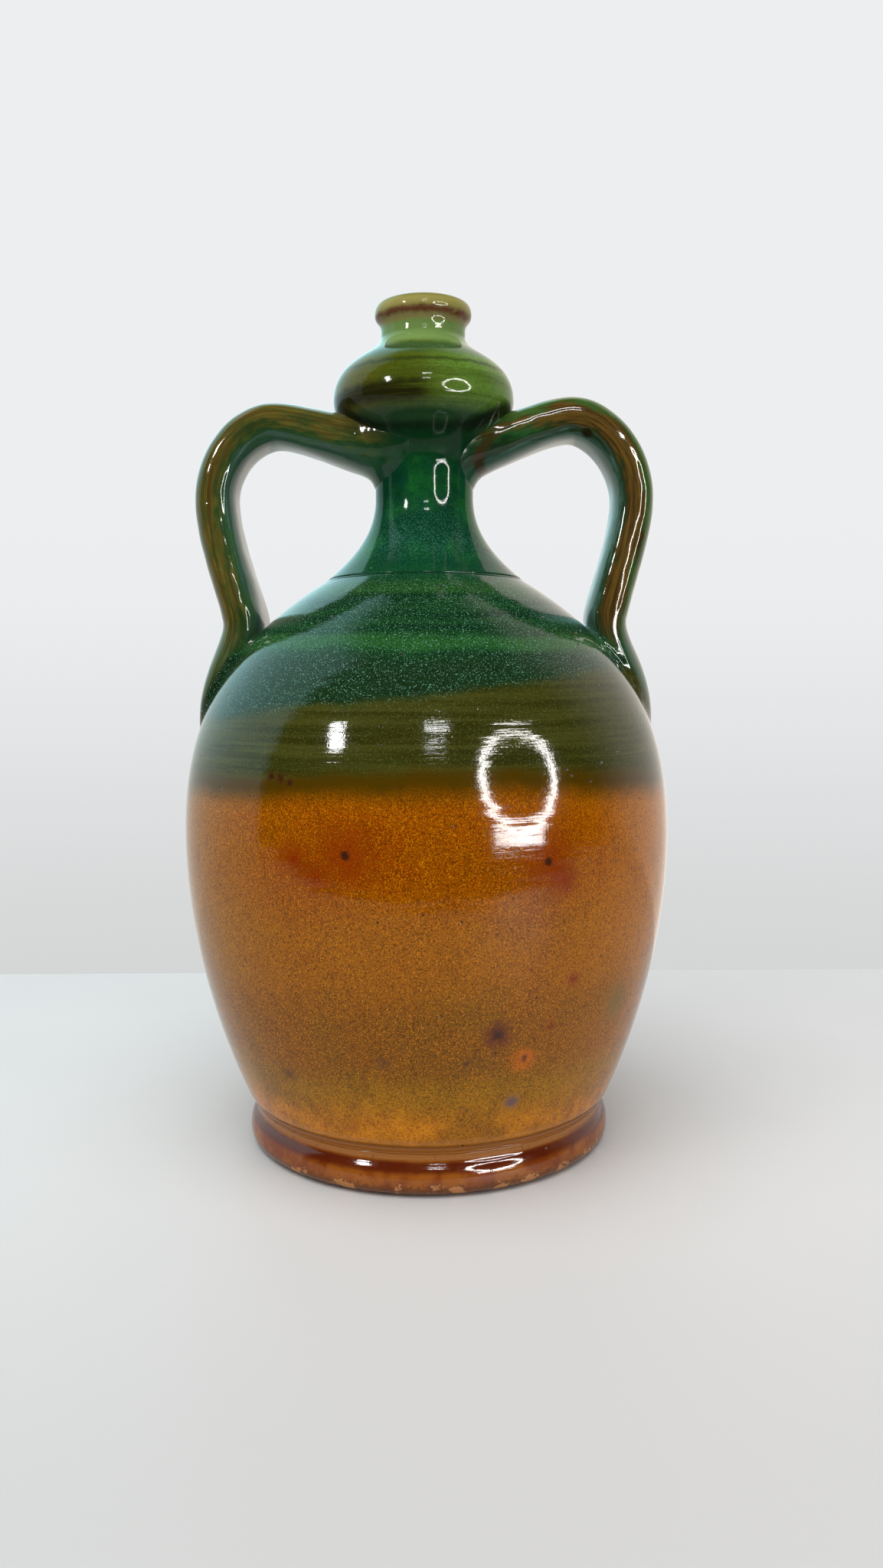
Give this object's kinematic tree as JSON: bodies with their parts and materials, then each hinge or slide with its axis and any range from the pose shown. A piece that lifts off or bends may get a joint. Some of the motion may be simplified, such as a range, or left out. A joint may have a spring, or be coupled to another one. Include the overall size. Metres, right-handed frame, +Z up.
{
  "type": "pottery jug",
  "caption": "Glazed pottery jug with a round belly, flanged foot, narrow neck with a hollow bulb and rolled lip, and pulled strap handles from neck to shoulder.",
  "frame": {"origin": "middle of the foot's resting face, on the table", "axes": "+Z up along the jug's axis, +X towards the right-hand handle, -Y towards the viewer"},
  "size_m": [0.1518, 0.1518, 0.26],
  "materials": {
    "amber_glaze": "glossy amber glaze running to green at the shoulder",
    "green_glaze": "glossy emerald green glaze with olive bands",
    "brown_glaze": "glossy red-brown glaze, bare clay where it rests",
    "handle_glaze": "glossy green glaze, brown where it is thin on the crests",
    "fired_slip": "fired clay slip"
  },
  "bodies": {
    "root": {"body": "amber_glaze", "neck": "green_glaze", "foot_ring": "brown_glaze", "handle_left": "handle_glaze", "handle_right": "handle_glaze", "neck_slip_joint": "fired_slip", "foot_slip_joint": "fired_slip", "left_handle_upper_slip": "fired_slip", "left_handle_lower_slip": "fired_slip", "right_handle_upper_slip": "fired_slip", "right_handle_lower_slip": "fired_slip"}
  },
  "joints": []
}
